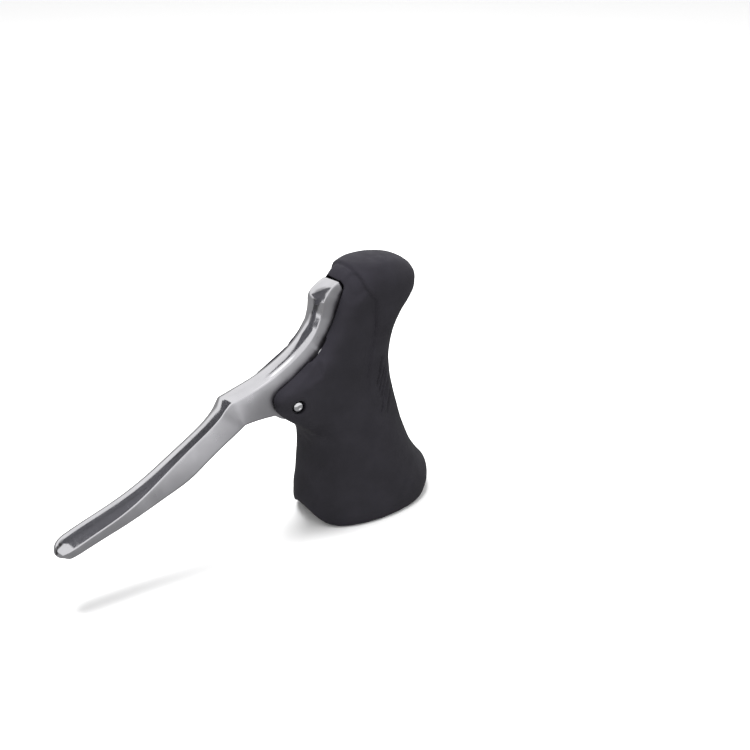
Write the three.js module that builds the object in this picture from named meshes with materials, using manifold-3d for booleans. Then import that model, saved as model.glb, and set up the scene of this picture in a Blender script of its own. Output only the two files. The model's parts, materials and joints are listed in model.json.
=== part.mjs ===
// Drop-bar brake lever: rubber hood over a cast body, polished blade on a pivot pin, handlebar clamp inside.
// Millimetres, +Z up. The origin is on the handlebar's axis at the middle of the clamp band.
// +X points along the handlebar towards the blade's tip, Y is the pivot pin's direction.
import * as THREE from 'three';
import { mergeVertices } from 'three/addons/utils/BufferGeometryUtils.js';
import Module from 'manifold-3d';

const wasm = await Module();
wasm.setup();

// ---------------------------------------------------------------- driving dimensions
const BAR_R = 12.0;            // handlebar 23.8 mm, saddle and strap bent to 24
const CLAMP_X = 8.0;           // clamp's middle, from the middle of the hood's skirt
const BAR_Z = -7.0;            // handlebar's axis, below the skirt's lowest edge line
const RUBBER = 2.6;            // hood wall
const FIT = 0.3;               // gap between pieces that touch
const PIVOT = [37.1, 55.1];    // pivot pin's axis, x and z from the skirt
const PIN_R = 2.25;
const PIN_HALF = 13.2;
const BUSH_R = 3.5;
const ANCHOR = [21.2, 69.5];   // cable anchor's axis
const ANCHOR_R = 3.5;
const CHEEK = 6.3;             // half width over the lever's cheeks
const CHEEK_IN = 3.7;          // half width between them
const SLOT = 7.5;              // half width of the body's lever slot
const HOOD_SLOT = 8.0;         // half width of the hood's lever opening
const STRAP_W = 10;            // clamp strap width along the bar
const STRAP_T = 1.2;
const DRAWN_UP = 19.8;         // how far the strap is drawn up from its place round a bar
const BOLT_R = 3.0;            // M6
const NUT_H = 7.0;
const SEG = 24;                // facets on small round pieces

// ---------------------------------------------------------------- mesh helpers
function toSolid(geometry) {
  let g = geometry.clone();
  for (const name of Object.keys(g.attributes)) if (name !== 'position') g.deleteAttribute(name);
  g = mergeVertices(g, 1e-4);
  const solid = new wasm.Manifold(new wasm.Mesh({
    numProp: 3,
    vertProperties: new Float32Array(g.attributes.position.array),
    triVerts: new Uint32Array(g.index.array),
  }));
  return solid;
}

function toGeometry(solid) {
  const m = solid.getMesh();
  const g = new THREE.BufferGeometry();
  g.setAttribute('position', new THREE.BufferAttribute(new Float32Array(m.vertProperties), 3));
  g.setIndex(new THREE.BufferAttribute(new Uint32Array(m.triVerts), 1));
  g.computeVertexNormals();
  return g;
}

// Closed skin over rings that all have the same number of points, flat-fanned at both ends.
function loft(rings) {
  const n = rings[0].length;
  const pos = [];
  const idx = [];
  for (const r of rings) for (const p of r) pos.push(...p);
  for (let k = 0; k + 1 < rings.length; k++) {
    for (let i = 0; i < n; i++) {
      const a = k * n + i, b = k * n + (i + 1) % n, c = a + n, d = b + n;
      idx.push(a, b, d, a, d, c);
    }
  }
  for (const [k, flip] of [[0, true], [rings.length - 1, false]]) {
    const mid = [0, 1, 2].map((j) => rings[k].reduce((s, p) => s + p[j], 0) / n);
    const m = pos.length / 3;
    pos.push(...mid);
    for (let i = 0; i < n; i++) {
      const a = k * n + i, b = k * n + (i + 1) % n;
      if (flip) idx.push(m, b, a); else idx.push(m, a, b);
    }
  }
  const g = new THREE.BufferGeometry();
  g.setAttribute('position', new THREE.BufferAttribute(new Float32Array(pos), 3));
  g.setIndex(idx);
  return g;
}

// Outline in the XZ plane, extruded along Y from y0 to y1.
function slabXZ(points, y0, y1) {
  const s = new THREE.Shape(points.map(([x, z]) => new THREE.Vector2(x, z)));
  const g = new THREE.ExtrudeGeometry(s, { depth: y1 - y0, bevelEnabled: false, curveSegments: 1 });
  g.rotateX(Math.PI / 2);      // (x, z, d) -> (x, -d, z)
  g.translate(0, y1, 0);
  return g;
}

// Outline in the YZ plane, extruded along X from x0 to x1.
function slabYZ(shape, x0, x1) {
  const g = new THREE.ExtrudeGeometry(shape, { depth: x1 - x0, bevelEnabled: false, curveSegments: 14 });
  g.applyMatrix4(new THREE.Matrix4().makeBasis(
    new THREE.Vector3(0, 1, 0), new THREE.Vector3(0, 0, 1), new THREE.Vector3(1, 0, 0)));
  g.translate(x0, 0, 0);
  return g;
}

function box(x0, x1, y0, y1, z0, z1) {
  const g = new THREE.BoxGeometry(x1 - x0, y1 - y0, z1 - z0);
  g.translate((x0 + x1) / 2, (y0 + y1) / 2, (z0 + z1) / 2);
  return g;
}

// Solid of revolution about the axis through p along d; profile is [radius, distance along d] pairs.
function turned(profile, p, d, seg = SEG) {
  const g = new THREE.LatheGeometry(profile.map(([r, h]) => new THREE.Vector2(r, h)), seg);
  const q = new THREE.Quaternion().setFromUnitVectors(new THREE.Vector3(0, 1, 0), new THREE.Vector3(...d).normalize());
  g.applyQuaternion(q);
  g.translate(...p);
  return g;
}
const rod = (r, h0, h1, p, d, seg = SEG) => turned([[0, h0], [r, h0], [r, h1], [0, h1]], p, d, seg);
const ring = (ri, ro, h0, h1, p, d, seg = SEG) => turned([[ri, h0], [ro, h0], [ro, h1], [ri, h1], [ri, h0]], p, d, seg);
const Y = [0, 1, 0];
const Z = [0, 0, 1];
const atPivot = (y = 0) => [PIVOT[0], y, PIVOT[1]];
const atAnchor = (y = 0) => [ANCHOR[0], y, ANCHOR[1]];

// ---------------------------------------------------------------- hood and body form
// Levels up the hood: z, back x, front x, x of the widest place, half width, squareness behind and in front.
const LEVELS = [
  [-2.4, -27.6, 29.9, 0.5, 19.3, 2.2, 2.2],
  [2, -28.9, 30.6, 0.5, 19.9, 2.2, 2.2],
  [6, -28.2, 30.5, 0.5, 19.7, 2.2, 2.2],
  [10, -26.0, 30.0, 1, 19.2, 2.2, 2.3],
  [14, -23.7, 29.4, 1.5, 18.6, 2.2, 2.3],
  [20, -20.5, 28.6, 2.5, 17.7, 2.2, 2.4],
  [27, -17.5, 27.8, 3.5, 16.9, 2.2, 2.5],
  [33, -15.2, 27.5, 4.5, 16.2, 2.2, 2.7],
  [37, -14.1, 28.3, 5, 15.7, 2.2, 3],
  [41, -13.1, 31.0, 5.5, 15.2, 2.2, 3.6],
  [44, -12.3, 34.6, 6, 14.9, 2.2, 4.4],
  [47, -11.5, 38.2, 6, 14.6, 2.2, 5.2],
  [50, -10.8, 41.4, 6, 14.4, 2.2, 6],
  [53.5, -10, 43.9, 6, 14.2, 2.2, 6],
  [57.3, -9.5, 44.7, 6, 14.05, 2.2, 6],
  [60.2, -9.2, 43.3, 6, 13.95, 2.2, 6],
  [62.3, -9.1, 39.6, 6, 13.85, 2.2, 6],
  [65, -9.3, 34.9, 5.5, 13.75, 2.2, 6],
  [68, -9.8, 30.4, 5, 13.65, 2.2, 5.5],
  [71.5, -10.7, 25.6, 4, 13.55, 2.2, 5],
  [75.5, -12.5, 22.5, 3, 13.5, 2.2, 4.6],
  [80, -15.5, 19.5, 1.5, 13.5, 2.2, 4.4],
  [84, -19.3, 17.5, 0, 13.5, 2.2, 4.2],
  [88, -22.1, 16.1, -1, 13.4, 2.2, 3.5],
  [92, -22.5, 14.9, -1.5, 13.1, 2.2, 3.0],
  [95.5, -20.9, 13.4, -1.5, 12.3, 2.2, 2.6],
  [98.3, -17.9, 11.2, -1.5, 10.9, 2.2, 2.4],
  [100.4, -13.7, 8.2, -1.5, 8.8, 2.2, 2.2],
  [101.7, -8.8, 5.0, -1.5, 5.8, 2.2, 2.2],
  [102.4, -4.8, 1.8, -1.5, 2.6, 2.2, 2.2],
];
const LIFT_FRONT = 7.2;        // how far the skirt's ends are raised for the bar
const LIFT_BACK = 7.4;
const AROUND = 36;

function sectionRing([z, xb, xf, xc, b, nb, nf], inset, zShift = 0) {
  const pts = [];
  const fade = Math.max(0, Math.min(1, (24 - z) / 25.5));
  for (let i = 0; i < AROUND; i++) {
    const t = (2 * Math.PI * i) / AROUND;
    const c = Math.cos(t), s = Math.sin(t);
    const n = c >= 0 ? nf : nb;
    const a = (c >= 0 ? xf - xc : xc - xb) - inset;
    const x = xc + a * Math.sign(c) * Math.abs(c) ** (2 / n);
    const y = (b - inset) * Math.sign(s) * Math.abs(s) ** (2 / n);
    const lift = (c >= 0 ? LIFT_FRONT : LIFT_BACK) * Math.abs(c) ** 6 * fade;
    pts.push([x, y, z + lift + zShift]);
  }
  return pts;
}

const hoodOuter = toSolid(loft(LEVELS.map((l) => sectionRing(l, 0))));
function inner(inset, topDrop, bottomShift) {
  const rings = [];
  LEVELS.forEach((l, k) => {
    const top = l[0] > 90 ? ((l[0] - 90) / 12.4) * topDrop : 0;
    if (l[4] - inset > 1.5) rings.push(sectionRing(l, Math.min(inset, l[4] - 1.6), -top + (k === 0 ? bottomShift : 0)));
  });
  return toSolid(loft(rings));
}

// Hood: skin of the form, open at the bottom for the bar and at the front for the lever.
const hoodFront = [[60, 45.4], [20, 45.4], [12, 60], [8, 80], [6, 90], [6, 95.7], [60, 95.7]];
let hood = hoodOuter.subtract(inner(RUBBER, RUBBER, -6));
hood = hood.subtract(toSolid(slabXZ(hoodFront, -HOOD_SLOT, HOOD_SLOT)));
hood = hood.subtract(toSolid(rod(2.8, -30, 30, atPivot(), Y)));
hood = hood.subtract(toSolid(rod(4.3, -11.8, 11.8, atPivot(), Y)));

// Body: the same form a rubber's thickness smaller, with saddle, lever slot, bolt well and housing groove.
let body = inner(RUBBER + FIT, RUBBER + FIT + 0.4, 1.6);
body = body.subtract(toSolid(rod(BAR_R, -80, 80, [0, 0, BAR_Z], [1, 0, 0], 48)));
const leverBay = [[60, 46.8], [30.5, 46.8], [26.5, 51], [12, 51], [0.6, 53], [0.2, 60], [0.6, 70], [3, 78], [9.2, 84], [9.2, 97.3], [60, 97.3]];
body = body.subtract(toSolid(slabXZ(leverBay, -SLOT, SLOT)));
body = body.subtract(toSolid(rod(2.45, -30, 30, atPivot(), Y)));
for (const s of [1, -1]) body = body.subtract(toSolid(rod(4.3, 10.3, 30, atPivot(), [0, s, 0])));
body = body.subtract(toSolid(rod(5.9, 40.3, 60, [CLAMP_X, 0, 0], Z, 32)));
body = body.subtract(toSolid(rod(3.35, 20, 60, [CLAMP_X, 0, 0], Z)));
body = body.subtract(toSolid(box(CLAMP_X - 5.6, CLAMP_X + 5.6, -11.2, 11.2, 6.9, 36.5)));
body = body.subtract(toSolid(box(CLAMP_X - 5.6, CLAMP_X + 5.6, 6.4, 30, -20, 22)));
body = body.subtract(toSolid(box(CLAMP_X - 5.6, CLAMP_X + 5.6, -30, -6.4, -20, 22)));
body = body.subtract(toSolid(box(16.8, 24.6, -8.4, 8.4, -20, 40)));

// Housing groove up the back of the body, and the seat of the housing's ferrule at its top.
const FERRULE = [-2.2, 50.5];
const cableLen = Math.hypot(ANCHOR[0] - FERRULE[0], ANCHOR[1] - FERRULE[1]);
const CABLE = [(ANCHOR[0] - FERRULE[0]) / cableLen, 0, (ANCHOR[1] - FERRULE[1]) / cableLen];
const groove = [[-4.6, 46.4], [-5.6, 40], [-7.2, 32], [-9.6, 22], [-13, 12], [-17, 4], [-21, -12], [-60, -12], [-60, 46.4]];
body = body.subtract(toSolid(slabXZ(groove, -3.1, 3.1)));
body = body.subtract(toSolid(rod(3.15, -14, 1.3, [FERRULE[0], 0, FERRULE[1]], CABLE)));
body = body.subtract(toSolid(rod(2.15, -2, 9, [FERRULE[0], 0, FERRULE[1]], CABLE)));

// ---------------------------------------------------------------- lever blade
// Stations down the front face: x, z, outward normal angle from +Z towards +X (degrees), width, depth, crown, cant (degrees).
const STATIONS = [
  [20.3, 91.4, 80, 11.0, 7.2, 0.6, 0],
  [20.6, 89.4, 84, 12.4, 8.2, 1.0, 0],
  [20.9, 86.5, 84, 12.6, 8.8, 1.3, 0],
  [22.6, 80.4, 70, 12.6, 10.2, 1.4, 0],
  [26.8, 74.0, 50, 12.6, 15.2, 1.4, 0],
  [31.0, 70.6, 38, 12.6, 17.0, 1.4, 0],
  [35.0, 68.1, 32, 12.6, 16.6, 1.4, 0],
  [39.4, 65.8, 27, 12.6, 17.4, 1.4, 0],
  [43.8, 63.9, 22, 12.6, 15.8, 1.3, 0],
  [49.0, 62.3, 15, 12.7, 12.2, 1.2, 2],
  [55.5, 60.9, 14, 12.9, 10.4, 1.1, 8],
  [60.6, 59.9, 18, 13.0, 10.2, 0.9, 14],
  [62.3, 58.4, 40, 13.0, 10.0, 0.9, 16],
  [64.6, 55.4, 47, 12.9, 9.2, 1.1, 18],
  [68.4, 52.0, 38, 12.7, 8.2, 1.3, 20],
  [75.5, 47.6, 32, 12.5, 8.2, 1.4, 20],
  [84.0, 42.4, 32, 12.5, 8.4, 1.5, 18],
  [92.0, 37.4, 30, 12.5, 7.0, 1.6, 15],
  [100.0, 33.0, 26, 12.5, 5.9, 1.8, 10],
  [108.0, 29.7, 19, 12.6, 5.4, 1.9, 7],
  [116.0, 27.1, 18, 12.6, 5.2, 2.0, 6],
  [122.0, 25.0, 20, 12.6, 5.2, 2.1, 5],
  [125.6, 23.6, 26, 11.8, 5.0, 2.0, 5],
  [127.6, 22.4, 40, 9.6, 4.4, 1.6, 5],
  [128.5, 21.4, 58, 6.4, 3.4, 1.0, 5],
];
const ACROSS = [[-1, 0], [-0.82, 0.36], [-0.42, 0.84], [0, 1], [0.42, 0.84], [0.82, 0.36], [1, 0]];
function bladeRing([x, z, deg, w, d, crown, cant]) {
  const r = THREE.MathUtils.degToRad(deg), c = THREE.MathUtils.degToRad(cant);
  const n = [Math.sin(r), 0, Math.cos(r)];
  const side = [n[0] * Math.sin(c), Math.cos(c), n[2] * Math.sin(c)];
  const out = [n[0] * Math.cos(c), -Math.sin(c), n[2] * Math.cos(c)];
  const local = ACROSS.map(([t, h]) => [t * w / 2, h * crown]);
  local.push([w / 2, -d + 0.9], [w / 2 - 0.9, -d], [-w / 2 + 0.9, -d], [-w / 2, -d + 0.9]);
  return local.map(([u, v]) => [x + side[0] * u + out[0] * v, side[1] * u + out[1] * v, z + side[2] * u + out[2] * v]);
}
let lever = toSolid(loft(STATIONS.map(bladeRing).reverse().map((r) => r)));
// Sloping top of the head.
lever = lever.add(toSolid(slabXZ([[12.1, 86], [20.6, 86], [21.3, 90.6], [14.2, 94.8], [12.3, 93.6]], -5.6, 5.6)));
lever = lever.add(toSolid(rod(7.6, -CHEEK, CHEEK, atPivot(), Y, 36)));
lever = lever.subtract(toSolid(slabXZ([[17.0, 88], [17.3, 86], [19.0, 79.5], [23.6, 71.6], [32.8, 64.9], [42.4, 60.2], [49, 58.4], [51, 57.4], [49, 40], [30, 38], [5, 60], [2, 88]], -CHEEK_IN, CHEEK_IN)));
lever = lever.subtract(toSolid(rod(BUSH_R + 0.2, -20, 20, atPivot(), Y)));
lever = lever.subtract(toSolid(rod(ANCHOR_R + 0.2, -20, 20, atAnchor(), Y)));

// ---------------------------------------------------------------- pivot
const pin = turned([[0, -PIN_HALF], [0.9, -PIN_HALF + 0.1], [1.6, -PIN_HALF + 0.45], [2.05, -PIN_HALF + 1.0], [PIN_R, -PIN_HALF + 1.5],
  [PIN_R, PIN_HALF - 1.5], [2.05, PIN_HALF - 1.0], [1.6, PIN_HALF - 0.45], [0.9, PIN_HALF - 0.1], [0, PIN_HALF]], atPivot(), Y);
const bushProfile = [[2.4, 3.9], [BUSH_R, 3.9], [BUSH_R, 6.6], [4.9, 6.6], [4.9, 7.2], [2.4, 7.2], [2.4, 3.9]];
const spool = turned([[2.4, -3.4], [4.1, -3.4], [4.1, 3.4], [2.4, 3.4], [2.4, -3.4]], atPivot(), Y);

// C-shaped push-on ring: a flat ring with a gap of the given width, facing the given direction.
function clipRing(ri, ro, h0, h1, p, d, gapDir) {
  let s = toSolid(ring(ri, ro, h0, h1, p, d));
  const g = new THREE.BoxGeometry(ro * 1.2, 1.6, 1.6);
  g.translate(ro, 0, 0);
  const e1 = new THREE.Vector3(...gapDir).normalize();
  const e3 = new THREE.Vector3(...d).normalize();
  const e2 = new THREE.Vector3().crossVectors(e3, e1);
  g.scale(1, 1, Math.abs(h1 - h0) + 4);
  g.applyMatrix4(new THREE.Matrix4().makeBasis(e1, e2, e3));
  g.translate(p[0] + e3.x * (h0 + h1) / 2, p[1] + e3.y * (h0 + h1) / 2, p[2] + e3.z * (h0 + h1) / 2);
  return toGeometry(s.subtract(toSolid(g)));
}

// Torsion spring round the spool: four turns, one leg on the lever's web and one on the body.
class SpringLine extends THREE.Curve {
  getPoint(t) {
    const legA = 0.08, legB = 0.1;
    const r = 5.1, turns = 10 / 3, half = 2.4, a0 = THREE.MathUtils.degToRad(60);
    const at = (k) => {
      const a = a0 + k * turns * 2 * Math.PI;
      return new THREE.Vector3(PIVOT[0] + r * Math.cos(a), half - 2 * half * k, PIVOT[1] + r * Math.sin(a));
    };
    if (t < legA) {
      const s = at(0), f = 1 - t / legA;
      return new THREE.Vector3(s.x + 4.6 * Math.sin(a0) * f, s.y, s.z - 4.6 * Math.cos(a0) * f);
    }
    if (t > 1 - legB) {
      const s = at(1), f = (t - 1 + legB) / legB;
      const a = a0 + turns * 2 * Math.PI;
      return new THREE.Vector3(s.x - 6.9 * Math.sin(a) * f, s.y, s.z + 6.9 * Math.cos(a) * f);
    }
    return at((t - legA) / (1 - legA - legB));
  }
}
const wire = new THREE.Shape(Array.from({ length: 6 }, (_, i) => new THREE.Vector2(0.6 * Math.cos(i * Math.PI / 3), 0.6 * Math.sin(i * Math.PI / 3))));
const spring = new THREE.ExtrudeGeometry(wire, { steps: 64, extrudePath: new SpringLine(), bevelEnabled: false });

// ---------------------------------------------------------------- cable anchor and ferrule
let anchor = toSolid(turned([[0, -7.15], [2.9, -7.15], [2.9, -6.4], [ANCHOR_R, -6.4], [ANCHOR_R, 6.5], [3.1, 6.9], [0, 6.9]], atAnchor(), Y));
anchor = anchor.subtract(toSolid(rod(1.0, -9, 9, atAnchor(), CABLE, 16)));
anchor = anchor.subtract(toSolid(rod(2.55, 0.6, 9, atAnchor(), CABLE, 20)));
const ferrule = turned([[2.55, -4.5], [2.95, -4.5], [2.95, 1.0], [1.9, 1.0], [1.9, 5.0], [1.0, 5.0], [1.0, -0.4], [2.55, -0.4], [2.55, -4.5]],
  [FERRULE[0], 0, FERRULE[1]], CABLE);

// ---------------------------------------------------------------- handlebar clamp
const bolt = (() => {
  let s = toSolid(turned([[0, 8.6], [2.4, 8.6], [BOLT_R, 9.2], [BOLT_R, 42.1], [5.0, 42.1], [5.0, 47.5], [4.5, 48.1], [0, 48.1]], [CLAMP_X, 0, 0], Z));
  const hex = new THREE.CylinderGeometry(2.95, 2.95, 6, 6);
  hex.rotateX(Math.PI / 2);
  hex.translate(CLAMP_X, 0, 48.1 - 3.2 + 3);
  return s.subtract(toSolid(hex));
})();
const washer = ring(3.3, 5.5, 40.6, 41.8, [CLAMP_X, 0, 0], Z);

// Strap: half round under the bar, legs up through the body to the nut.
function strapShape() {
  const s = new THREE.Shape();
  const inside = [[11.7, 3.4], [8.3, 12.3], [8.0, 14], [8.0, 22.2]];
  const outside = [[9.2, 22.2], [9.2, 14.1], [9.5, 12.8], [12.9, 3.7]];
  s.moveTo(BAR_R, 0);
  for (const [y, z] of inside) s.lineTo(y, z);
  for (const [y, z] of outside) s.lineTo(y, z);
  s.lineTo(BAR_R + STRAP_T, 0);
  s.absarc(0, 0, BAR_R + STRAP_T, 0, Math.PI, true);
  for (const [y, z] of [...outside].reverse()) s.lineTo(-y, z);
  for (const [y, z] of [...inside].reverse()) s.lineTo(-y, z);
  s.lineTo(-BAR_R, 0);
  s.absarc(0, 0, BAR_R, Math.PI, 0, false);
  return s;
}
const NUT_Z = BAR_Z + DRAWN_UP + 18.7;
const strap = (() => {
  const g = slabYZ(strapShape(), CLAMP_X - STRAP_W / 2, CLAMP_X + STRAP_W / 2);
  g.translate(0, 0, BAR_Z + DRAWN_UP);
  return toSolid(g).subtract(toSolid(rod(2.75, -20, 20, [CLAMP_X, 0, NUT_Z], Y)));
})();
const nut = (() => {
  let s = toSolid(box(CLAMP_X - 4.9, CLAMP_X + 4.9, -7.7, 7.7, NUT_Z - NUT_H / 2, NUT_Z + NUT_H / 2));
  s = s.add(toSolid(rod(2.5, -11.0, 11.0, [CLAMP_X, 0, NUT_Z], Y)));
  return s.subtract(toSolid(rod(BOLT_R + 0.25, 0, 60, [CLAMP_X, 0, 0], Z)));
})();

// ---------------------------------------------------------------- assembly
const looks = {
  rubber: { color: 0x2f2d33, roughness: 0.78, metalness: 0.0 },
  casting: { color: 0x1c1c1f, roughness: 0.5, metalness: 0.4 },
  polished: { color: 0xcfd0d4, roughness: 0.16, metalness: 1.0 },
  steel: { color: 0xb9bbc0, roughness: 0.28, metalness: 1.0 },
  zinc: { color: 0xa9abb0, roughness: 0.4, metalness: 1.0 },
  springSteel: { color: 0x5a5c62, roughness: 0.35, metalness: 1.0 },
  bronze: { color: 0xa9824a, roughness: 0.4, metalness: 1.0 },
  nylon: { color: 0xd8d6cc, roughness: 0.55, metalness: 0.0 },
  black: { color: 0x141416, roughness: 0.7, metalness: 0.0 },
};
function part(name, shape, look) {
  const geometry = shape.isBufferGeometry ? shape : toGeometry(shape);
  const mesh = new THREE.Mesh(geometry, new THREE.MeshStandardMaterial(looks[look]));
  mesh.name = name;
  return mesh;
}

const onSkirt = new THREE.Group();            // everything is drawn from the skirt's middle
onSkirt.position.set(-CLAMP_X, 0, -BAR_Z);
const housingParts = new THREE.Group();
housingParts.add(part('hood', hood, 'rubber'));
housingParts.add(part('body_bracket', body, 'casting'));
housingParts.add(part('lever_bumper', box(9.5, 11.75, -4, 4, 86.2, 91.8), 'black'));
housingParts.add(part('housing_ferrule', ferrule, 'zinc'));
housingParts.add(part('pivot_pin', pin, 'steel'));
for (const [side, s] of [['left', 1], ['right', -1]]) {
  housingParts.add(part(`pin_clip_${side}`, clipRing(2.4, 3.9, 10.7, 11.4, atPivot(), [0, s, 0], [0, 0, 1]), 'springSteel'));
}
const leverParts = new THREE.Group();
leverParts.add(part('lever_blade', lever, 'polished'));
for (const [side, s] of [['left', 1], ['right', -1]]) {
  leverParts.add(part(`pivot_bush_${side}`, turned(bushProfile, atPivot(), [0, s, 0]), 'bronze'));
}
leverParts.add(part('spring_spool', spool, 'nylon'));
leverParts.add(part('cable_anchor', anchor, 'steel'));
leverParts.add(part('anchor_clip', clipRing(3.05, 4.7, 6.55, 7.05, atAnchor(), [0, -1, 0], [0, 0, 1]), 'springSteel'));
const clampParts = new THREE.Group();
clampParts.add(part('clamp_bolt', bolt, 'zinc'));
clampParts.add(part('bolt_washer', washer, 'zinc'));
clampParts.add(part('bolt_circlip', clipRing(3.2, 4.7, 35.3, 36.1, [CLAMP_X, 0, 0], Z, [1, 0, 0]), 'springSteel'));
clampParts.add(part('band_nut', nut, 'zinc'));
clampParts.add(part('clamp_band', strap, 'steel'));
for (const [side, s] of [['left', 1], ['right', -1]]) {
  clampParts.add(part(`band_key_${side}`, clipRing(2.7, 3.4, 9.5, 10.6, [CLAMP_X, 0, NUT_Z], [0, s, 0], [0, 0, -1]), 'springSteel'));
}
onSkirt.add(housingParts, leverParts, clampParts, part('return_spring', spring, 'springSteel'));

const lever_assembly = new THREE.Group();
lever_assembly.add(onSkirt);
export default lever_assembly;
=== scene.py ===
import json
import math
import bpy
import bmesh
import numpy as np
from mathutils import Matrix, Vector


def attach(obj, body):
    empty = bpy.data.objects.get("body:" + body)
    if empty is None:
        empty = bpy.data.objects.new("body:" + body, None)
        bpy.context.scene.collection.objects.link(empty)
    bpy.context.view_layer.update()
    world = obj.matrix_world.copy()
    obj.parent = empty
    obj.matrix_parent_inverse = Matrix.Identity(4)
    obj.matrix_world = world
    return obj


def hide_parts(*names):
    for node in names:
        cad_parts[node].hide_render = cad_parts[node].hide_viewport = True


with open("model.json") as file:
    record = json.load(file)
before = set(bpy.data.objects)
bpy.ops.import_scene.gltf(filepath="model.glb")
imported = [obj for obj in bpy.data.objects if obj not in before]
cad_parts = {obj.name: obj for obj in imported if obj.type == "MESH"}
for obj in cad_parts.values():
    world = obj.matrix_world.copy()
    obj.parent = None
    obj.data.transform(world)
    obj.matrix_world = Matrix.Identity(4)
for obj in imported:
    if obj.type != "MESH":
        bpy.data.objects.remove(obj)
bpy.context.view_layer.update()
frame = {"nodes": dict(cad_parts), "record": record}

# Shapes are worked out in millimetres from the middle of the hood's skirt, then moved to the row frame in metres.
SHIFT = np.array([-8.0, 0.0, 7.0])
FLOOR_Z = 0.0046


def to_row(p):
    return (np.asarray(p, float) + SHIFT) / 1000.0


# ------------------------------------------------------------------ camera
cam_data = bpy.data.cameras.new("camera")
cam_data.lens = 52.8
cam_data.sensor_width = 36.0
cam_data.clip_start = 0.01
cam_data.clip_end = 50.0
cam = bpy.data.objects.new("camera", cam_data)
bpy.context.scene.collection.objects.link(cam)
look = Vector((-0.52830, -0.72714, -0.43837)).normalized()
cam.location = (0.215746, 0.316555, 0.248645)
cam.rotation_euler = look.to_track_quat("-Z", "Y").to_euler()
bpy.context.scene.camera = cam

# ------------------------------------------------------------------ distance fields on a grid


def smax(a, b, k):
    m = np.maximum(a, b)
    return m + np.maximum(k - np.abs(a - b), 0) ** 2 / (4 * k)


def smin(a, b, k):
    return -smax(-a, -b, k)


def step(v, lo, hi):
    t = np.clip((v - lo) / (hi - lo), 0, 1)
    return t * t * (3 - 2 * t)


def pchip(x, xp, yp):
    h = np.diff(xp)
    d = np.diff(yp) / h
    m = np.zeros_like(yp)
    w1 = 2 * h[1:] + h[:-1]
    w2 = h[1:] + 2 * h[:-1]
    same = d[:-1] * d[1:] > 0
    with np.errstate(divide="ignore", invalid="ignore"):
        mean = (w1 + w2) / (w1 / d[:-1] + w2 / d[1:])
    m[1:-1] = np.where(same, mean, 0)
    m[0], m[-1] = d[0], d[-1]
    x = np.clip(x, xp[0], xp[-1])
    i = np.clip(np.searchsorted(xp, x, side="right") - 1, 0, len(xp) - 2)
    t = (x - xp[i]) / h[i]
    return ((2 * t**3 - 3 * t**2 + 1) * yp[i] + (t**3 - 2 * t**2 + t) * h[i] * m[i]
            + (-2 * t**3 + 3 * t**2) * yp[i + 1] + (t**3 - t**2) * h[i] * m[i + 1])


def polygon_distance(px, pz, points):
    """Signed distance in the XZ plane to a closed outline, negative inside."""
    pts = np.array(points, float)
    best = np.full(px.shape, 1e9)
    inside = np.zeros(px.shape, bool)
    for a, b in zip(pts, np.roll(pts, -1, axis=0)):
        e = b - a
        t = np.clip(((px - a[0]) * e[0] + (pz - a[1]) * e[1]) / (e @ e), 0, 1)
        best = np.minimum(best, np.hypot(px - a[0] - t * e[0], pz - a[1] - t * e[1]))
        crosses = (a[1] > pz) != (b[1] > pz)
        with np.errstate(divide="ignore", invalid="ignore"):
            xi = a[0] + (pz - a[1]) * (b[0] - a[0]) / (b[1] - a[1])
        inside ^= crosses & (px < xi)
    return np.where(inside, -best, best)


def line_distance(px, pz, points):
    """Distance in a plane to an open line, and how far along it the nearest point is, 0 to 1."""
    pts = np.array(points, float)
    lengths = np.hypot(*(pts[1:] - pts[:-1]).T)
    total = lengths.sum()
    best = np.full(px.shape, 1e9)
    along = np.zeros(px.shape)
    run = 0.0
    for a, b, length in zip(pts[:-1], pts[1:], lengths):
        e = b - a
        t = np.clip(((px - a[0]) * e[0] + (pz - a[1]) * e[1]) / (e @ e), 0, 1)
        d = np.hypot(px - a[0] - t * e[0], pz - a[1] - t * e[1])
        near = d < best
        best = np.where(near, d, best)
        along = np.where(near, (run + t * length) / total, along)
        run += length
    return best, along


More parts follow.
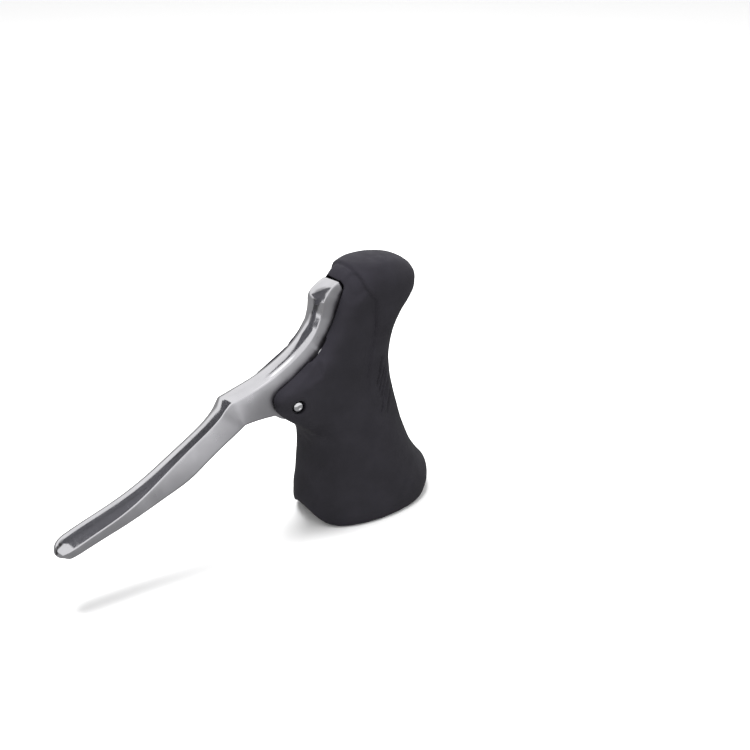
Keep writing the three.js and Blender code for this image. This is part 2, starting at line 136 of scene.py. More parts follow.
class Grid:
    def __init__(self, lo, hi, h):
        self.lo, self.h = np.array(lo, float), h
        n = [int(math.ceil((b - a) / h)) + 1 for a, b in zip(lo, hi)]
        ax = [a + h * np.arange(m) for a, m in zip(lo, n)]
        self.x = ax[0][:, None, None].astype(np.float32)
        self.y = ax[1][None, :, None].astype(np.float32)
        self.z = ax[2][None, None, :].astype(np.float32)
        self.shape = tuple(n)
        self.xz = np.meshgrid(ax[0], ax[2], indexing="ij")

    def outline(self, points):
        return polygon_distance(*self.xz, points)[:, None, :].astype(np.float32)

    def line(self, points):
        d, t = line_distance(*self.xz, points)
        return d[:, None, :].astype(np.float32), t[:, None, :].astype(np.float32)

    def slab(self, points, y0, y1):
        return np.maximum(self.outline(points), np.maximum(y0 - self.y, self.y - y1))

    def block(self, x0, x1, y0, y1, z0, z1):
        return np.maximum(np.maximum(np.maximum(x0 - self.x, self.x - x1), np.maximum(y0 - self.y, self.y - y1)),
                          np.maximum(z0 - self.z, self.z - z1))

    def rod(self, r, h0, h1, p, d):
        d = np.array(d, float) / np.linalg.norm(d)
        rx, ry, rz = self.x - p[0], self.y - p[1], self.z - p[2]
        h = rx * d[0] + ry * d[1] + rz * d[2]
        rad = np.sqrt(np.maximum(rx * rx + ry * ry + rz * rz - h * h, 0))
        return np.maximum(rad - r, np.maximum(h0 - h, h - h1))

    def skin(self, d):
        """Closed quad mesh of the surface where d is 0."""
        d = np.asarray(d, np.float32)
        s = (d < 0).astype(np.int8)
        c = np.zeros([n - 1 for n in self.shape], np.int8)
        for i in (0, 1):
            for j in (0, 1):
                for k in (0, 1):
                    c += s[i:self.shape[0] - 1 + i, j:self.shape[1] - 1 + j, k:self.shape[2] - 1 + k]
        cells = np.argwhere((c > 0) & (c < 8))
        index = np.full(c.shape, -1, np.int32)
        index[tuple(cells.T)] = np.arange(len(cells))
        total = np.zeros((len(cells), 3))
        count = np.zeros(len(cells))
        for axis in range(3):
            o1, o2 = [a for a in range(3) if a != axis]
            for i in (0, 1):
                for j in (0, 1):
                    a = np.zeros(3, int)
                    a[o1], a[o2] = i, j
                    b = a.copy()
                    b[axis] = 1
                    da = d[tuple((cells + a).T)]
                    db = d[tuple((cells + b).T)]
                    cut = (da < 0) != (db < 0)
                    t = np.where(cut, da / np.where(cut, da - db, 1), 0)
                    p = cells + a[None, :] + (b - a)[None, :] * t[:, None]
                    total += np.where(cut[:, None], p, 0)
                    count += cut
        v = total / count[:, None]
        faces = []
        for axis in range(3):
            o1, o2 = [(1, 2), (2, 0), (0, 1)][axis]
            a = [slice(None)] * 3
            b = [slice(None)] * 3
            a[axis] = slice(0, -1)
            b[axis] = slice(1, None)
            for o in (o1, o2):
                a[o] = b[o] = slice(1, -1)
            sa, sb = s[tuple(a)], s[tuple(b)]
            for flip, hit in ((False, (sa == 1) & (sb == 0)), (True, (sa == 0) & (sb == 1))):
                e = np.argwhere(hit)
                e[:, o1] += 1
                e[:, o2] += 1
                quad = []
                for u, w in ((-1, -1), (0, -1), (0, 0), (-1, 0)):
                    q = e.copy()
                    q[:, o1] += u
                    q[:, o2] += w
                    quad.append(index[tuple(q.T)])
                q = np.stack(quad, 1)
                faces.append(q[:, ::-1] if flip else q)
        faces = np.concatenate(faces)
        # settle the points on the surface itself
        g = np.stack(np.gradient(d), -1)
        for _ in range(3):
            base = np.clip(np.floor(v).astype(int), 0, np.array(self.shape) - 2)
            f = v - base
            dv = np.zeros(len(v))
            gv = np.zeros((len(v), 3))
            for i in (0, 1):
                for j in (0, 1):
                    for k in (0, 1):
                        w = ((f[:, 0] if i else 1 - f[:, 0]) * (f[:, 1] if j else 1 - f[:, 1]) * (f[:, 2] if k else 1 - f[:, 2]))
                        at = (base[:, 0] + i, base[:, 1] + j, base[:, 2] + k)
                        dv += w * d[at]
                        gv += w[:, None] * g[at]
            move = (dv / np.maximum((gv**2).sum(1), 1e-4))[:, None] * gv
            size = np.linalg.norm(move, axis=1, keepdims=True)
            v = v - move * np.minimum(1, 0.35 / np.maximum(size, 1e-9))
        return self.lo + v * self.h, faces


def mesh_object(name, verts_mm, faces, smooth=True, sharp=None):
    me = bpy.data.meshes.new(name)
    v = to_row(verts_mm)
    me.from_pydata(v.tolist(), [], [list(map(int, f)) for f in faces])
    me.update()
    o = bpy.data.objects.new(name, me)
    bpy.context.scene.collection.objects.link(o)
    if smooth:
        me.polygons.foreach_set("use_smooth", [True] * len(me.polygons))
    if sharp is not None:
        me.set_sharp_from_angle(angle=math.radians(sharp))
    return o


# ------------------------------------------------------------------ the hood's form
# z, back x, front x, x of the widest place, half width, squareness behind and in front
LEVELS = np.array([
    [-2.4, -27.6, 29.9, 0.5, 19.3, 2.2, 2.2], [2, -28.9, 30.6, 0.5, 19.9, 2.2, 2.2], [6, -28.2, 30.5, 0.5, 19.7, 2.2, 2.2],
    [10, -26.0, 30.0, 1, 19.2, 2.2, 2.3], [14, -23.7, 29.4, 1.5, 18.6, 2.2, 2.3], [20, -20.5, 28.6, 2.5, 17.7, 2.2, 2.4],
    [27, -17.5, 27.8, 3.5, 16.9, 2.2, 2.5], [33, -15.2, 27.5, 4.5, 16.2, 2.2, 2.7], [37, -14.1, 28.3, 5, 15.7, 2.2, 3],
    [41, -13.1, 31.0, 5.5, 15.2, 2.2, 3.6], [44, -12.3, 34.6, 6, 14.9, 2.2, 4.4], [47, -11.5, 38.2, 6, 14.6, 2.2, 5.2],
    [50, -10.8, 41.4, 6, 14.4, 2.2, 6], [53.5, -10, 43.9, 6, 14.2, 2.2, 6], [57.3, -9.5, 44.7, 6, 14.05, 2.2, 6],
    [60.2, -9.2, 43.3, 6, 13.95, 2.2, 6], [62.3, -9.1, 39.6, 6, 13.85, 2.2, 6], [65, -9.3, 34.9, 5.5, 13.75, 2.2, 6],
    [68, -9.8, 30.4, 5, 13.65, 2.2, 5.5], [71.5, -10.7, 25.6, 4, 13.55, 2.2, 5], [75.5, -12.5, 22.5, 3, 13.5, 2.2, 4.6],
    [80, -15.5, 19.5, 1.5, 13.5, 2.2, 4.4], [84, -19.3, 17.5, 0, 13.5, 2.2, 4.2], [88, -22.1, 16.1, -1, 13.4, 2.2, 3.5],
    [92, -22.5, 14.9, -1.5, 13.1, 2.2, 3.0], [95.5, -20.9, 13.4, -1.5, 12.3, 2.2, 2.6], [98.3, -17.9, 11.2, -1.5, 10.9, 2.2, 2.4],
    [100.4, -13.7, 8.2, -1.5, 8.8, 2.2, 2.2], [101.7, -8.8, 5.0, -1.5, 5.8, 2.2, 2.2], [102.4, -4.8, 1.8, -1.5, 2.6, 2.2, 2.2],
    [102.6, -3.2, 0.2, -1.5, 1.0, 2.2, 2.2]])
LIFT_FRONT, LIFT_BACK = 7.2, 7.4
PIVOT = (37.1, 55.1)
ANCHOR = (21.2, 69.5)
FERRULE = (-2.2, 50.5)
CABLE = np.array([ANCHOR[0] - FERRULE[0], 0, ANCHOR[1] - FERRULE[1]])
CABLE = CABLE / np.linalg.norm(CABLE)
CLAMP_X = 8.0

ZT = np.linspace(-2.4, 102.6, 2101)
TABLE = np.stack([pchip(ZT, LEVELS[:, 0], LEVELS[:, k]) for k in range(1, 7)], 1)
_k = np.exp(-np.linspace(-2, 2, 57) ** 2)
_k /= _k.sum()
_p = np.pad(TABLE, ((28, 28), (0, 0)), mode="reflect", reflect_type="odd")
_soft = np.stack([np.convolve(_p[:, j], _k, mode="valid") for j in range(6)], 1)
TABLE = TABLE + (_soft - TABLE) * (np.clip((96 - ZT) / 4, 0, 1) * np.clip((ZT + 2.4) / 2, 0, 1))[:, None]


def form(g):
    """Distance to the hood's outer form, and the height along it from the skirt's edge."""
    zp = np.broadcast_to(g.z, g.shape).astype(np.float32)
    for _ in range(3):
        t = np.interp(zp, ZT, np.arange(len(ZT))).astype(np.float32)
        i = np.clip(t.astype(np.int32), 0, len(ZT) - 2)
        f = t - i
        xb, xf, xc, b, nb, nf = [(TABLE[i, k] * (1 - f) + TABLE[i + 1, k] * f).astype(np.float32) for k in range(6)]
        front = g.x >= xc
        n = np.where(front, nf, nb)
        un = (np.abs(g.x - xc) / np.where(front, xf - xc, xc - xb)) ** n
        s = un + (np.abs(g.y) / b) ** n + 1e-12
        lift = np.where(front, LIFT_FRONT, LIFT_BACK) * (un / s) ** np.where(front, 4.6, 3.4)
        zp = g.z - lift * np.clip((27 - zp) / 29.4, 0, 1) ** 1.7
    r = s ** (1 / n)
    gr = np.gradient(r, g.h)
    slope = np.sqrt(gr[0] ** 2 + gr[1] ** 2 + gr[2] ** 2)
    dist = (r - 1) / np.maximum(slope, 1e-3)
    return smax(dist, g.z - 102.45, 1.2).astype(np.float32), zp


# ------------------------------------------------------------------ hood: a soft rubber skin
H = 0.5
g = Grid((-31, -21.3, -4.0), (46.5, 21.3, 104.2), H)
D, ZP = form(g)
ay = np.abs(g.y)
outer = D.copy()

# edge of the raised grip panel: down the side, over the horn
panel_z = np.array([44, 50.5, 57.8, 65.7, 73.4, 80.4, 87.6, 91, 94.4, 97, 99.3, 104])
panel_x = np.array([7.6, 7.0, 6.3, 5.1, 3.1, 2.2, 2.1, 4.2, 6.3, 7.2, 7.6, 7.7])
q = g.x - pchip(g.z, panel_z, panel_x).astype(np.float32)
down = step(g.z, 46, 60)
outer += (0.40 * np.exp(-(q / 0.5) ** 2) + 0.70 * step(q, -0.3, 0.4) * np.exp(-np.maximum(q, 0) / 7.0)) * down

# two long fine lines beside it, and one behind
for pts, depth in (([(7.4, 73), (8.1, 62), (8.4, 50)], 0.22), ([(9.6, 70), (9.9, 60), (10.0, 52)], 0.10), ([(-0.7, 88), (-0.3, 72)], 0.14)):
    d, t = g.line(pts)
    outer += depth * np.exp(-(d / 0.5) ** 2) * step(t, 0, 0.25) * step(1 - t, 0, 0.25)

# slanting grip grooves on each side, near the back
for (x0, z0), (x1, z1) in (((-1.2, 66.5), (1.8, 58.5)), ((-0.4, 62.5), (3.2, 53.0)), ((-2.2, 62.0), (2.2, 50.0)), ((-3.6, 60.5), (1.4, 46.5)),
                           ((-3.2, 54.5), (1.8, 40.5)), ((-4.9, 56.5), (-0.9, 45.0)), ((-5.4, 51.0), (-1.6, 40.0))):
    d, t = g.line([(x0, z0), ((x0 + x1) / 2 + 0.35, (z0 + z1) / 2), (x1, z1)])
    outer += (0.78 * np.exp(-(d / 0.48) ** 2) - 0.16 * np.exp(-((d - 1.0) / 0.5) ** 2)) * step(t, 0, 0.25) * step(1 - t, 0, 0.25) * step(ay, 5, 7)

# flat facet beside the lever's head
nrm = np.array([0.430, 0.697, 0.575])
facet = (g.x - 12.9) * nrm[0] + (ay - 8.6) * nrm[1] + (g.z - 92.6) * nrm[2] + 0.8
outer = smax(outer, np.minimum(facet - 1.4 * np.maximum(0.4 - q, 0), D + 1.25), 0.3)

# bevel above the ear, from its tip back to the lever's opening
nrm = np.array([0.231, 0.789, 0.569])
bevel = (g.x - 41) * nrm[0] + (ay - 12.0) * nrm[1] + (g.z - 61.0) * nrm[2] + 0.15
bevel = bevel - 0.9 * np.maximum(27 - g.x, 0)
outer = smax(outer, np.minimum(bevel, D + 1.6), 0.35)

# dimple round the pin's hole
rp = np.hypot(g.x - PIVOT[0], g.z - PIVOT[1])
outer += (0.22 * np.exp(-(rp / 3.3) ** 10) - 0.18 * np.exp(-((rp - 4.0) / 0.8) ** 2)) * step(ay, 6, 9)

# folds in the rubber under the ears, where they meet the column
for pts, depth, width in ([[(34.5, -7.5, 42.0), (31.0, -5.5, 38.6), (29.4, -3.5, 36.6), (28.8, -1.0, 34.8), (28.4, 1.5, 33.7), (28.1, 4.5, 33.3)], 0.75, 0.62],
                          [[(38.6, 11.6, 47.6), (36.0, 12.6, 46.2), (33.5, 13.2, 45.4), (31.0, 13.6, 45.2)], 0.32, 0.7],
                          [[(28.6, 4.5, 36.6), (28.0, 8.0, 37.6), (26.2, 11.5, 38.2)], 0.25, 0.7]):
    pts = np.array(pts)
    for mirror in (1, -1):
        best = np.full(g.shape, 1e9, np.float32)
        for a, b in zip(pts[:-1], pts[1:]):
            e = b - a
            rx, ry, rz = g.x - a[0], g.y * mirror - a[1], g.z - a[2]
            t = np.clip((rx * e[0] + ry * e[1] + rz * e[2]) / (e @ e), 0, 1)
            best = np.minimum(best, (rx - t * e[0]) ** 2 + (ry - t * e[1]) ** 2 + (rz - t * e[2]) ** 2)
        outer += depth * np.exp(-best / width**2)

# the skin is never perfectly even
outer += 0.045 * np.sin(g.x * 0.31 + g.z * 0.17 + 0.6) * np.sin(g.y * 0.27 + g.z * 0.11) + 0.02 * np.sin(g.x * 0.83 - g.z * 0.47)

outer = smax(outer, g.z - 102.2, 2.2)
hood_d = smax(outer, -(D + 2.6), 0.4)
hood_d = smax(hood_d, -2.4 - ZP, 1.1)
swing = np.full(g.shape, 1e9, np.float32)
for a in np.radians(np.arange(0, 33, 4)):
    rel = (ANCHOR[0] - PIVOT[0], ANCHOR[1] - PIVOT[1])
    cx, cz = PIVOT[0] + rel[0] * math.cos(a) + rel[1] * math.sin(a), PIVOT[1] - rel[0] * math.sin(a) + rel[1] * math.cos(a)
    swing = np.minimum(swing, np.hypot(g.x - cx, g.z - cz))
room = 6.65 + 0.85 * (1 - step(swing, 4.9, 5.7)) + 0.0 * ay
room = np.maximum(room, 6.65 + 1.4 * (1 - step(rp, 5.9, 6.6)))
slot_side = smax(ay - room, g.z - 95.75 - 0.5 * np.clip(g.x - 12.6, 0, 3), 4.5)
slot = np.maximum(slot_side, g.outline([(60, 45.4), (20, 45.4), (12, 60), (8, 80), (6, 90), (6, 99), (60, 99)]))
hood_d = smax(hood_d, -slot, 0.55)
hood_d = smax(hood_d, 2.58 - rp, 0.4)
hood_d = np.maximum(hood_d, -np.maximum(rp - 4.1, ay - 11.45))
hood = mesh_object("hood_skin", *g.skin(hood_d))

# ------------------------------------------------------------------ cast body
HB = 0.55
g = Grid((-28.5, -18.6, -2.2), (43.5, 18.6, 101.0), HB)
D, ZP = form(g)
ay = np.abs(g.y)
body_d = D + 2.9 + np.clip((g.z - 90) / 12.4, 0, 1) * 0.4
body_d = smax(body_d, -0.8 - ZP, 0.8)
K = 0.5
for cut in (
    g.rod(12.0, -99, 99, (0, 0, -7.0), (1, 0, 0)),
    g.slab([(60, 46.8), (30.5, 46.8), (26.5, 51), (12, 51), (0.6, 53), (0.2, 60), (0.6, 70), (3, 78), (9.2, 84), (9.2, 97.3), (9.2, 110), (60, 110)], -7.5, 7.5),
    g.rod(2.45, -30, 30, (PIVOT[0], 0, PIVOT[1]), (0, 1, 0)),
    g.rod(4.3, 10.3, 30, (PIVOT[0], 0, PIVOT[1]), (0, 1, 0)),
    g.rod(4.3, 10.3, 30, (PIVOT[0], 0, PIVOT[1]), (0, -1, 0)),
    g.rod(5.9, 40.3, 60, (CLAMP_X, 0, 0), (0, 0, 1)),
    g.rod(3.35, 20, 60, (CLAMP_X, 0, 0), (0, 0, 1)),
    g.block(CLAMP_X - 5.6, CLAMP_X + 5.6, -11.2, 11.2, 6.9, 36.5),
    g.block(CLAMP_X - 5.6, CLAMP_X + 5.6, 6.4, 30, -20, 22),
    g.block(CLAMP_X - 5.6, CLAMP_X + 5.6, -30, -6.4, -20, 22),
    g.block(16.8, 24.6, -8.4, 8.4, -20, 40),
    g.slab([(-4.6, 46.4), (-5.6, 40), (-7.2, 32), (-9.6, 22), (-13, 12), (-17, 4), (-21, -12), (-60, -12), (-60, 46.4)], -3.1, 3.1),
    g.rod(3.15, -14, 1.3, (FERRULE[0], 0, FERRULE[1]), CABLE),
    g.rod(2.15, -2, 9, (FERRULE[0], 0, FERRULE[1]), CABLE),
):
    body_d = smax(body_d, -cut, K)
body = mesh_object("body_casting", *g.skin(body_d), sharp=42)

# ------------------------------------------------------------------ lever blade
# Front point x z, back point x z, outward angle from +Z towards +X, front width, back width, crown, cant
TOP = [
    [12.75, 95.0, 12.3, 93.8, 2, 10.0, 9.8, 0.15, 7],
    [13.9, 95.7, 12.2, 92.9, 21, 11.9, 11.7, 0.50, 11],
    [15.8, 94.85, 12.15, 91.8, 31, 12.3, 12.2, 0.75, 12],
    [17.8, 93.45, 12.15, 90.4, 37, 12.3, 12.1, 0.90, 10],
    [19.45, 91.85, 12.15, 89.1, 46, 12.5, 12.3, 1.00, 8],
    [20.45, 90.35, 12.1, 88.3, 58, 12.5, 12.4, 1.10, 6],
    [20.85, 89.0, 12.1, 87.8, 70, 12.5, 12.4, 1.15, 5],
    [20.95, 88.0, 12.1, 87.2, 79, 12.5, 12.5, 1.25, 5],
]
STATIONS = [
    [20.95, 86.5, 84, 12.6, 8.8, 1.4, 5], [22.7, 80.4, 70, 12.6, 10.2, 1.5, 10], [27.1, 74.3, 51, 12.6, 15.2, 1.5, 12],
    [31.4, 71.0, 38, 12.6, 17.0, 1.5, 13], [35.3, 68.6, 32, 12.6, 16.6, 1.5, 13], [39.7, 66.3, 27, 12.6, 17.4, 1.5, 12],
    [43.9, 64.3, 22, 12.6, 15.8, 1.4, 11], [49.0, 62.6, 16, 12.7, 12.2, 1.3, 10], [55.5, 61.0, 15, 12.9, 10.4, 1.1, 11],
    [60.6, 59.9, 18, 13.0, 10.2, 0.9, 14], [62.3, 58.4, 40, 13.0, 10.0, 0.9, 16], [64.6, 55.4, 47, 12.9, 9.2, 1.1, 18],
    [68.4, 52.0, 38, 12.7, 8.2, 1.3, 20], [75.5, 47.6, 32, 12.5, 8.2, 1.4, 20], [84.0, 42.4, 32, 12.5, 8.4, 1.5, 18],
    [92.0, 37.4, 30, 12.5, 6.5, 1.6, 15], [100.0, 33.0, 26, 12.5, 5.0, 1.8, 10], [108.0, 29.7, 19, 12.6, 4.1, 1.9, 7],
    [116.0, 27.1, 18, 12.6, 3.6, 2.0, 6], [122.0, 25.0, 20, 12.6, 3.3, 2.1, 5], [125.6, 23.6, 26, 11.8, 3.1, 2.0, 5],
    [127.6, 22.4, 40, 9.6, 2.8, 1.6, 5], [128.5, 21.4, 58, 6.4, 2.2, 1.0, 5],
]
rows = list(TOP)
for x, z, deg, w, d, crown, cant in STATIONS:
    r = math.radians(deg)
    rows.append([x, z, x - math.sin(r) * d, z - math.cos(r) * d, deg, w, w, crown, cant])
rows = np.array(rows, float)
along = np.concatenate([[0], np.cumsum(np.hypot(*(rows[1:, :2] - rows[:-1, :2]).T))])
samples = []
for a, b in zip(along[:-1], along[1:]):
    samples += list(np.linspace(a, b, max(3, int((b - a) / 0.6)), endpoint=False))
samples = np.array(samples + [along[-1]])
fine = np.stack([pchip(samples, along, rows[:, k]) for k in range(rows.shape[1])], 1)
# evening out of the lines along the blade, with the head and the kink kept
sigma = 5.0
spread = np.arange(-22, 23)
kern = np.exp(-0.5 * (spread / sigma) ** 2)
kern /= kern.sum()
pad = np.pad(fine, ((22, 22), (0, 0)), mode="reflect", reflect_type="odd")
soft = np.stack([np.convolve(pad[:, j], kern, mode="valid") for j in range(fine.shape[1])], 1)
keep = np.clip((np.abs(fine[:, 0] - 61.5) - 1.0) / 5, 0, 1) * np.clip((88.5 - fine[:, 1]) / 6, 0, 1) * np.clip((124 - fine[:, 0]) / 6, 0, 1)
fine = fine + (soft - fine) * keep[:, None]


def rounded(points, radii, n=6):
    """Closed outline with its marked corners rounded."""
    out = []
    m = len(points)
    for i in range(m):
        p = np.array(points[i])
        r = radii[i]
        if r <= 0:
            out.append(p)
            continue
        a, b = np.array(points[i - 1]), np.array(points[(i + 1) % m])
        la, lb = np.linalg.norm(a - p), np.linalg.norm(b - p)
        pa, pb = p + (a - p) * min(r / la, 0.95), p + (b - p) * min(r / lb, 0.95)
        for t in np.linspace(0, 1, n):
            out.append((1 - t) ** 2 * pa + 2 * t * (1 - t) * p + t * t * pb)
    return out


def blade_ring(row):
    x, z, bx, bz, deg, wf, wb, crown, cant = row
    r, c = math.radians(deg), math.radians(cant)
    f, b = np.array([x, 0, z]), np.array([bx, 0, bz])
    inward = b - f
    depth = np.linalg.norm(inward)
    inward /= depth
    n = -inward
    side = np.array([n[0] * math.sin(c), math.cos(c), n[2] * math.sin(c)])
    up = np.array([n[0] * math.cos(c), -math.sin(c), n[2] * math.cos(c)])
    # the pivot's lug: the back edge bulges out round the pin
    rel = np.array([PIVOT[0] - x, 0, PIVOT[1] - z])
    off = rel - inward * (rel @ inward)
    miss = np.linalg.norm(off)
    reach = rel @ inward
    if reach > 0 and miss < 10.5:
        lug = reach + math.sqrt(max(7.6**2 - miss**2, 0))
        if miss < 7.6:
            depth = max(depth, lug)
        else:
            depth = max(depth, depth + (reach - depth) * (10.5 - miss) / 2.9 if reach > depth else depth)
    hf, hb = wf / 2, wb / 2
    # the cheek leans in towards the front face above the kink
    lean = 1.0 * float(np.clip((90 - z) / 6, 0, 1) * np.clip((60 - x) / 8, 0, 1))
    hn = hf - lean
    t = np.linspace(-0.96, 0.96, 23)
    face = [(tt * (hn if tt > 0 else hf), (1 - abs(tt) ** 2.2) * crown) for tt in t]
    edge = min(0.95, depth * 0.3)
    bulge = min(0.25, depth * 0.05)
    pts = [(-hf, 0.0)] + face + [(hn, 0.0), (hf + 0.02, -min(depth * 0.5, 1.2 + 3 * lean)), (hb, -depth), (0.0, -depth + bulge), (-hb, -depth), (-hf - 0.02, -depth * 0.5)]
    radii = [1.5 if hf > 5 else 0.9] + [0] * len(face) + [0.45, 0, edge, 0, edge, 0]
    local = rounded(pts, radii)
    # inside the hood only the front face is tilted: the cheeks stay square to the pin
    free = float(np.clip((x - 51) / 9, 0, 1))
    ring = []
    for u, v in local:
        w = max(free, float(np.clip(1 + v / 2.6, 0, 1)))
        ring.append((f + side * u + up * v) * w + (f + np.array([0, u, 0]) + n * v) * (1 - w))
    return ring


rings = [blade_ring(row) for row in fine]
n = len(rings[0])
verts = [p for ring in rings for p in ring]
faces = []
for k in range(len(rings) - 1):
    for i in range(n):
        a, b = k * n + i, k * n + (i + 1) % n
        faces.append((a, a + n, b + n, b))
# domed ends, closed with shrinking rings
for k, sign in ((0, -1), (len(rings) - 1, 1)):
    ring = np.array(rings[k])
    mid = ring.mean(0)
    travel = np.array(rings[k]).mean(0) - np.array(rings[k + (1 if k == 0 else -1)]).mean(0)
    travel /= np.linalg.norm(travel)
    last = [k * n + i for i in range(n)]
    for scale, out in ((0.86, 0.35), (0.66, 0.62), (0.42, 0.80), (0.18, 0.88)):
        start = len(verts)
        verts += [mid + (p - mid) * scale + travel * out * (0.6 if k == 0 else 0.9) for p in ring]
        for i in range(n):
            a, b = last[i], last[(i + 1) % n]
            c, d = start + (i + 1) % n, start + i
            faces.append((a, b, c, d) if k == 0 else (a, d, c, b))
        last = list(range(start, start + n))
    verts.append(mid + travel * 0.9 * (0.6 if k == 0 else 0.9))
    for i in range(n):
        a, b = last[i], last[(i + 1) % n]
        faces.append((a, b, len(verts) - 1) if k == 0 else (a, len(verts) - 1, b))
lever = mesh_object("lever_forging", verts, faces)
bm = bmesh.new()
bm.from_mesh(lever.data)
bmesh.ops.recalc_face_normals(bm, faces=bm.faces)
bm.to_mesh(lever.data)
bm.free()


def cutter(verts_mm, faces_):
    o = mesh_object("cutter", verts_mm, faces_, smooth=False)
    b = bmesh.new()
    b.from_mesh(o.data)
    bmesh.ops.recalc_face_normals(b, faces=b.faces)
    b.to_mesh(o.data)
    b.free()
    return o


def cylinder_cut(r, y0, y1, x, z, seg=72):
    a = np.linspace(0, 2 * math.pi, seg, endpoint=False)
    v = [(x + r * math.cos(t), y, z + r * math.sin(t)) for y in (y0, y1) for t in a]
    f = [(i, (i + 1) % seg, seg + (i + 1) % seg, seg + i) for i in range(seg)] + [tuple(range(seg))[::-1], tuple(range(seg, 2 * seg))]
    return cutter(v, f)


def slab_cut(points, y0, y1):
    m = len(points)
    v = [(x, y, z) for y in (y0, y1) for x, z in points]
    f = [(i, (i + 1) % m, m + (i + 1) % m, m + i) for i in range(m)] + [tuple(range(m))[::-1], tuple(range(m, 2 * m))]
    return cutter(v, f)


def subtract(target, tool):
    mod = target.modifiers.new("cut", "BOOLEAN")
    mod.operation = "DIFFERENCE"
    mod.solver = "EXACT"
    mod.object = tool
    dg = bpy.context.evaluated_depsgraph_get()
    me = bpy.data.meshes.new_from_object(target.evaluated_get(dg))
    target.modifiers.clear()
    old = target.data
    target.data = me
    bpy.data.meshes.remove(old)
    bpy.data.objects.remove(tool)


pocket = [(17.0, 88), (17.3, 86), (19.0, 79.5), (20.9, 75.3), (23.6, 71.6), (27.6, 68.2), (32.8, 64.9), (37.6, 62.5), (42.4, 60.2), (49, 58.4), (51, 57.4), (49, 40), (30, 38), (5, 60), (2, 88)]
subtract(lever, slab_cut(pocket, -3.7, 3.7))
subtract(lever, cylinder_cut(3.7, -20, 20, *PIVOT))
subtract(lever, cylinder_cut(3.7, -20, 20, *ANCHOR))
lever.data.name = "lever_forging"
lever.data.polygons.foreach_set("use_smooth", [True] * len(lever.data.polygons))
lever.data.set_sharp_from_angle(angle=math.radians(38))


# ------------------------------------------------------------------ turned pieces
def turned(name, profile, p, d, seg=72):
    """Solid of revolution: (radius, distance along d) pairs, about the axis through p."""
    d = np.array(d, float) / np.linalg.norm(d)
    e1 = np.cross(d, [0.3, 0.9, 0.2] if abs(d[1]) < 0.9 else [1, 0, 0])
    e1 /= np.linalg.norm(e1)
    e2 = np.cross(d, e1)
    v, f, rows_ = [], [], []
    for r, h in profile:
        if r < 1e-6:
            rows_.append([len(v)])
            v.append(np.array(p) + d * h)
        else:
            rows_.append(list(range(len(v), len(v) + seg)))
            v += [np.array(p) + d * h + (e1 * math.cos(t) + e2 * math.sin(t)) * r for t in np.linspace(0, 2 * math.pi, seg, endpoint=False)]
    for a, b in zip(rows_[:-1], rows_[1:]):
        for i in range(seg):
            j = (i + 1) % seg
            if len(a) == 1:
                f.append((a[0], b[j], b[i]))
            elif len(b) == 1:
                f.append((a[i], a[j], b[0]))
            else:
                f.append((a[i], a[j], b[j], b[i]))
    o = mesh_object(name, v, f, sharp=35)
    b = bmesh.new()
    b.from_mesh(o.data)
    bmesh.ops.recalc_face_normals(b, faces=b.faces)
    b.to_mesh(o.data)
    b.free()
    o.data.set_sharp_from_angle(angle=math.radians(35))
    return o


dome = [(0.0, 12.86), (0.35, 12.88), (0.62, 12.98), (0.8, 13.08), (1.05, 13.04), (1.4, 12.9), (1.75, 12.66), (2.0, 12.38), (2.16, 12.05), (2.24, 11.7), (2.25, 11.5)]
pin = turned("pivot_pin_ground", [(r, h) for r, h in dome] + [(r, -h) for r, h in dome[::-1]], (PIVOT[0], 0, PIVOT[1]), (0, 1, 0))

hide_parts("hood")
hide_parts("body_bracket")
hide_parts("lever_blade")
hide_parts("pivot_pin")
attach(hood, "body")
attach(body, "body")
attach(pin, "body")
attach(lever, "lever")


